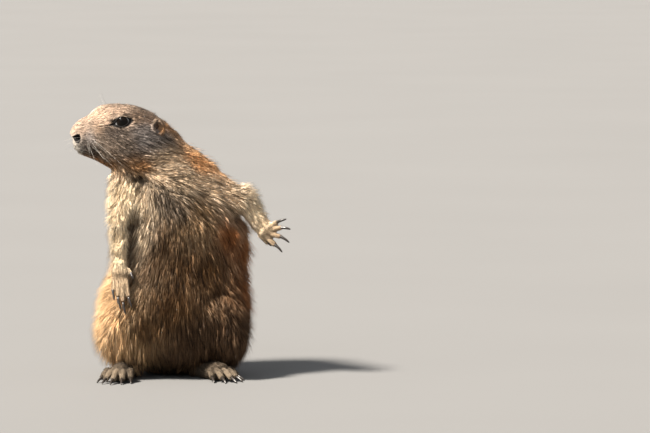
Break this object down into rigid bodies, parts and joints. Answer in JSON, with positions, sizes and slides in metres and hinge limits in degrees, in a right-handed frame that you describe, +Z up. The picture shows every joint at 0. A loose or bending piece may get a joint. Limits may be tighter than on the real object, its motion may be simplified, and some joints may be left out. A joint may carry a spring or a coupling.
{
  "type": "prairie dog",
  "caption": "Life-size still model of a black-tailed prairie dog sitting upright, head turned to its right, right arm hanging and left arm stretched out sideways.",
  "frame": {"origin": "middle of the floor area that the animal covers, on the level its feet and rump rest on", "axes": "+Z up, -Y the way the chest faces, +X the animal's own left; the turned head points along -X"},
  "size_m": [0.1586, 0.1844, 0.1966],
  "materials": {
    "coat": "short soft fur, cinnamon with dark and pale grizzling",
    "pale_coat": "short soft fur, cream to buff",
    "tail_coat": "short soft fur with a dark tip",
    "eye": "dark glass eye with a wet gloss",
    "nose": "satin",
    "claw": "satin horn"
  },
  "bodies": {
    "root": {"head": "coat", "nose": "nose", "eye_left": "eye", "ear_left": "coat", "eye_right": "eye", "ear_right": "coat", "neck": "coat", "trunk": "coat", "thigh_left": "coat", "thigh_right": "coat", "tail": "tail_coat", "upper_arm_right": "coat", "forearm_right": "pale_coat", "hand_right": "pale_coat", "claw_hand_right_1": "claw", "claw_hand_right_2": "claw", "claw_hand_right_3": "claw", "claw_hand_right_4": "claw", "claw_hand_right_5": "claw", "upper_arm_left": "coat", "forearm_left": "pale_coat", "hand_left": "pale_coat", "claw_hand_left_1": "claw", "claw_hand_left_2": "claw", "claw_hand_left_3": "claw", "claw_hand_left_4": "claw", "claw_hand_left_5": "claw", "foot_right": "pale_coat", "claw_foot_right_1": "claw", "claw_foot_right_2": "claw", "claw_foot_right_3": "claw", "claw_foot_right_4": "claw", "claw_foot_right_5": "claw", "foot_left": "pale_coat", "claw_foot_left_1": "claw", "claw_foot_left_2": "claw", "claw_foot_left_3": "claw", "claw_foot_left_4": "claw", "claw_foot_left_5": "claw"}
  },
  "joints": []
}
